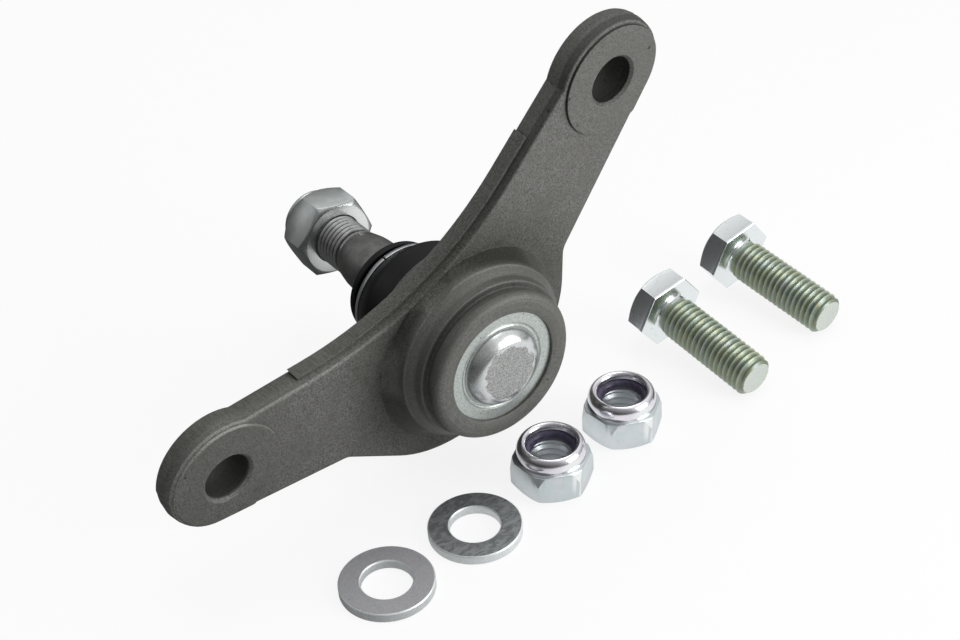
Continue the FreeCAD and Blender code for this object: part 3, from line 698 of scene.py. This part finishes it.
def bolt_zinc(name, spot):
    """Passivated zinc of a bolt: pale silver head and yellow-green film on the thread, painted shade
    deep in the thread, darkest on its far side, and in crevices, and a painted highlight on its
    ridges."""
    look = Finish(name)
    place = bolt_place(*spot)
    centre, aim = place.translation, place.col[1].to_3d()
    depth, from_axis = look.along(aim, centre), look.away(aim, centre)
    end_face = look.facing(aim).step(0.9, 0.98)
    shaft = depth.step(0.2, 1.4) * (1 - end_face * 0.5)
    threads = depth.step(1.2, 2.6) * (1 - end_face)
    far_side = look.facing(Z_AXIS.cross(aim)).step(0.1, 0.65)
    # Painted shade deep in the thread, stronger on its far side
    root_shade = threads * from_axis.step(5.78, 5.3) * (0.32 + far_side * 0.5)
    # Painted highlight along the thread's ridges
    crest_highlight = threads * from_axis.step(5.7, 5.88)
    film = look.node("ShaderNodeValToRGB", {"stops": [
        (0.30, tone(150, 160, 152)), (0.41, tone(132, 152, 134)), (0.50, tone(150, 156, 112)),
        (0.60, tone(132, 154, 138)), (0.70, tone(154, 150, 152))]},
        {0: look.noise(0.3, 3.0, 0.6, None, 0.8)})
    grit = look.noise(3.0, 3.0, 0.7)
    rubbed = look.noise(0.9, 3.0).step(0.6, 0.72)
    base = look.mix(shaft * 0.9, tone(230, 235, 236), film)
    base = look.mix(rubbed * 0.2, base, tone(150, 152, 144))
    # Painted highlight on the thread's ridges
    base = look.mix(crest_highlight * 0.2, base, tone(204, 210, 196))
    # Painted shade deep in the thread
    base = look.mix(root_shade, base, tone(52, 62, 52))
    # Painted shade in crevices
    base = look.mix((1 - look.openness(1.3, 0.2, 0.75)) * 0.55, base, tone(48, 54, 44))
    rough = 0.14 + grit * 0.1 + shaft * 0.14
    return look.shade(base, rough, 1.0 - shaft * 0.7, look.bump(grit, 0.02, look.softened(0.06)))


def nylon():
    """Dark violet grey nylon of the locking rings."""
    look = Finish("nylon_violet")
    skin = look.noise(1.2, 2.0)
    base = look.mix(skin.step(0.3, 0.7), tone(58, 54, 72), tone(78, 73, 92))
    return look.shade(base, 0.3 + skin * 0.1, 0.0, look.bump(skin, 0.02), Specular_IOR_Level=0.3)


def washer_zinc(name, dark):
    """Flat washer: dull zinc, with a smeared darker face where it is dark, and brighter edges."""
    look = Finish(name)
    grit = look.noise(2.4, 3.0, 0.7)
    smear = look.noise(0.32, 5.0, 0.7, look.vector("MULTIPLY", look.place, (0.7, 1.5, 1.0)), 1.4)
    flat = look.facing(Z_AXIS).step(0.8, 0.97)
    specks = look.cells(0.45).step(0.1, 0.05)
    soft = look.softened(0.25)
    rim = look.mix(grit.step(0.3, 0.7), tone(214, 219, 220), tone(236, 239, 239))
    if dark:
        face = look.mix(smear.step(0.38, 0.66), tone(126, 129, 131), tone(172, 175, 176))
    else:
        face = look.mix(grit.step(0.3, 0.7), tone(168, 168, 172), tone(186, 186, 190))
    base = look.mix(flat, rim, face)
    base = look.mix(specks * 0.6 * flat, base, tone(96, 96, 98))
    base = look.mix(look.worn(soft).least(1.0) * 0.5, base, tone(214, 216, 216))
    rough = 0.42 + grit * 0.15 - smear * (0.12 if dark else 0.0)
    return look.shade(base, rough, 0.7, look.bump(grit + smear, 0.04, soft))


def seat_plastic():
    """Off-white bearing plastic inside the housing."""
    look = Finish("seat_plastic")
    skin = look.noise(0.9, 3.0)
    base = look.mix(skin.step(0.3, 0.7), tone(206, 200, 184), tone(222, 217, 203))
    return look.shade(base, 0.45 + skin * 0.1, 0.0, look.bump(skin, 0.02))


# Pieces

wire, black, violet = bright_wire(), rubber(), nylon()
stud_zinc = zinc_silver("zinc_stud_nut", tone(176, 182, 180), ABOVE_ALL)
kit_zinc = zinc_silver("zinc_kit_nuts", tone(200, 209, 211), FLOOR + KIT_NUT[1] * KIT_STYLE[0])

for node, finish in {
    "bracket_forging": forged_steel(), "cover_plate": zinc_cover(), "bearing_seat": seat_plastic(),
    "boot_clamp_ring": wire, "boot_split_ring": wire,
    "washer_a": washer_zinc("washer_light", False), "washer_b": washer_zinc("washer_dark", True),
}.items():
    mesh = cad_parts[node].data
    mesh.materials.clear()
    mesh.materials.append(finish)

piece("stud_threaded", ball_stud(), machined_steel(), "stud", ["ball_stud"])
piece("stud_lock_nut", lock_nut(STUD_NUT_THREAD, STUD_NUT, NUT_Y, NUT_TURN, STUD_STYLE), stud_zinc,
      "nut", ["stud_nut"])
piece("stud_lock_ring", lock_ring(STUD_NUT, STUD_RING_R, NUT_Y, STUD_STYLE), violet,
      "nut_thread", ["stud_nut_insert"])
lower = piece("boot_fold_lower", boot_lower(), black, None, ["boot_lower"])
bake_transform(lower)
upper = piece("boot_fold_upper", boot_upper(), black, None, ["boot_upper"])
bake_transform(upper)
for name, spot in BOLTS.items():
    piece(name + "_threaded", bolt(), bolt_zinc(name + "_zinc", spot),
          "bracket", [name], bolt_place(*spot))
for name, (x, y, turn) in NUTS.items():
    piece(name + "_threaded", lock_nut(KIT_NUT_THREAD, KIT_NUT, 0.0, -turn, KIT_STYLE),
          kit_zinc, "bracket", [name], nut_place(x, y))
    piece(name + "_ring", lock_ring(KIT_NUT, KIT_RING_R, 0.0, KIT_STYLE), violet,
          "bracket", [name + "_insert"], nut_place(x, y))


# Floor, world, light and camera, in metres

LIT_SPOT, LIT_INNER, LIT_OUTER = (0.12, -0.10, FLOOR * MM), 0.12, 0.21
FLOOR_HALF, FLOOR_DROP = 6.0, 0.03
WHITE = (1, 1, 1, 1)


def floor_white():
    """White floor that still takes the object's shadow. Metal sees it darker away from its lit
    middle."""
    material = bpy.data.materials.new("floor_white")
    look = Tree(material)
    seen, glossy, through = (look.node("ShaderNodeLightPath", out=kind) for kind in (
        "Is Camera Ray", "Is Glossy Ray", "Is Transmission Ray"))
    plain = seen.most(through)
    where = look.node("ShaderNodeTexCoord", out="Object")
    lit = look.vector("DISTANCE", where, LIT_SPOT, 1).step(LIT_OUTER, LIT_INNER) * 0.94 + 0.06
    matt = look.node("ShaderNodeBsdfDiffuse", {}, {"Color": (0.88, 0.88, 0.88, 1)})
    glow = look.node("ShaderNodeEmission", {}, {"Color": WHITE, "Strength": plain.most(glossy * lit)})
    both = look.node("ShaderNodeMixShader", {}, {
        0: (plain * 0.86).most(glossy * 0.95), 1: matt, 2: glow})
    look.node("ShaderNodeOutputMaterial", {}, {"Surface": both})
    return material


bm = bmesh.new()
bmesh.ops.create_grid(bm, x_segments=1, y_segments=1, size=FLOOR_HALF)
bmesh.ops.translate(bm, verts=bm.verts, vec=(0, 0, (FLOOR - FLOOR_DROP) * MM))
floor_mesh = bpy.data.meshes.new("floor")
bm.to_mesh(floor_mesh)
bm.free()
floor_mesh.materials.append(floor_white())
floor_object = bpy.data.objects.new("floor", floor_mesh)
bpy.context.scene.collection.objects.link(floor_object)


def studio():
    """White to the camera. Metal sees light from above and the right, a dim left and a small card."""
    world = bpy.data.worlds.new("studio")
    look = Tree(world)
    ray = look.node("ShaderNodeTexCoord", out="Generated")
    above = look.vector("DOT_PRODUCT", ray, Z_AXIS, 1).step(-0.05, 0.75)
    rightward = look.vector("DOT_PRODUCT", ray, (0.8, -0.6, 0), 1).step(-0.6, 0.7)
    dim_side = look.vector("DOT_PRODUCT", ray, (-0.767, -0.559, 0.315), 1).step(0.4, 0.85)
    card = look.vector("DOT_PRODUCT", ray, (-0.55, 0.65, 0.52), 1).step(0.94, 0.985)
    level = (above * 0.62 + rightward * 0.34 + 0.05) * (1 - dim_side * 0.6) + card * 0.5
    seen = look.node("ShaderNodeLightPath", out="Is Camera Ray")
    backdrop = look.node("ShaderNodeBackground", {}, {"Color": WHITE, "Strength": level.most(seen)})
    look.node("ShaderNodeOutputWorld", {}, {"Surface": backdrop})
    return world


def softbox(name, at, aim, width, height, power):
    """A rectangular area lamp that faces a point."""
    lamp = bpy.data.lights.new(name, "AREA")
    lamp.shape, lamp.size, lamp.size_y, lamp.energy = "RECTANGLE", width, height, power
    obj = bpy.data.objects.new(name, lamp)
    obj.location = at
    obj.rotation_mode = "QUATERNION"
    obj.rotation_quaternion = (Vector(aim) - Vector(at)).to_track_quat("-Z", "Y")
    bpy.context.scene.collection.objects.link(obj)


bpy.context.scene.world = studio()
softbox("top_softbox", (0.2, 0.1, 1.0), (0.02, 0, 0), 0.8, 0.6, 2.0)
softbox("front_softbox", (0.28, -0.42, 0.14), (0.03, 0, 0.02), 0.28, 0.3, 1.6)

# The photograph's camera: its place and the directions of its right, top and back
camera = bpy.data.objects.new("camera", bpy.data.cameras.new("camera"))
camera.data.lens, camera.data.sensor_width = 71.25, 36.0
camera.data.clip_start, camera.data.clip_end = 0.02, 30.0
camera_place = Matrix.Translation((-0.2119, -0.3208, 0.2907))
right = Vector((0.8021838, -0.5941504, -0.0590455))
up = Vector((0.3933151, 0.4514327, 0.8009443))
back = Vector((-0.4492263, -0.6657280, 0.5958203))
camera.matrix_world = camera_place @ Matrix((right, up, back)).transposed().to_4x4()
bpy.context.scene.collection.objects.link(camera)
bpy.context.scene.camera = camera
bpy.context.scene.view_settings.view_transform = "Standard"
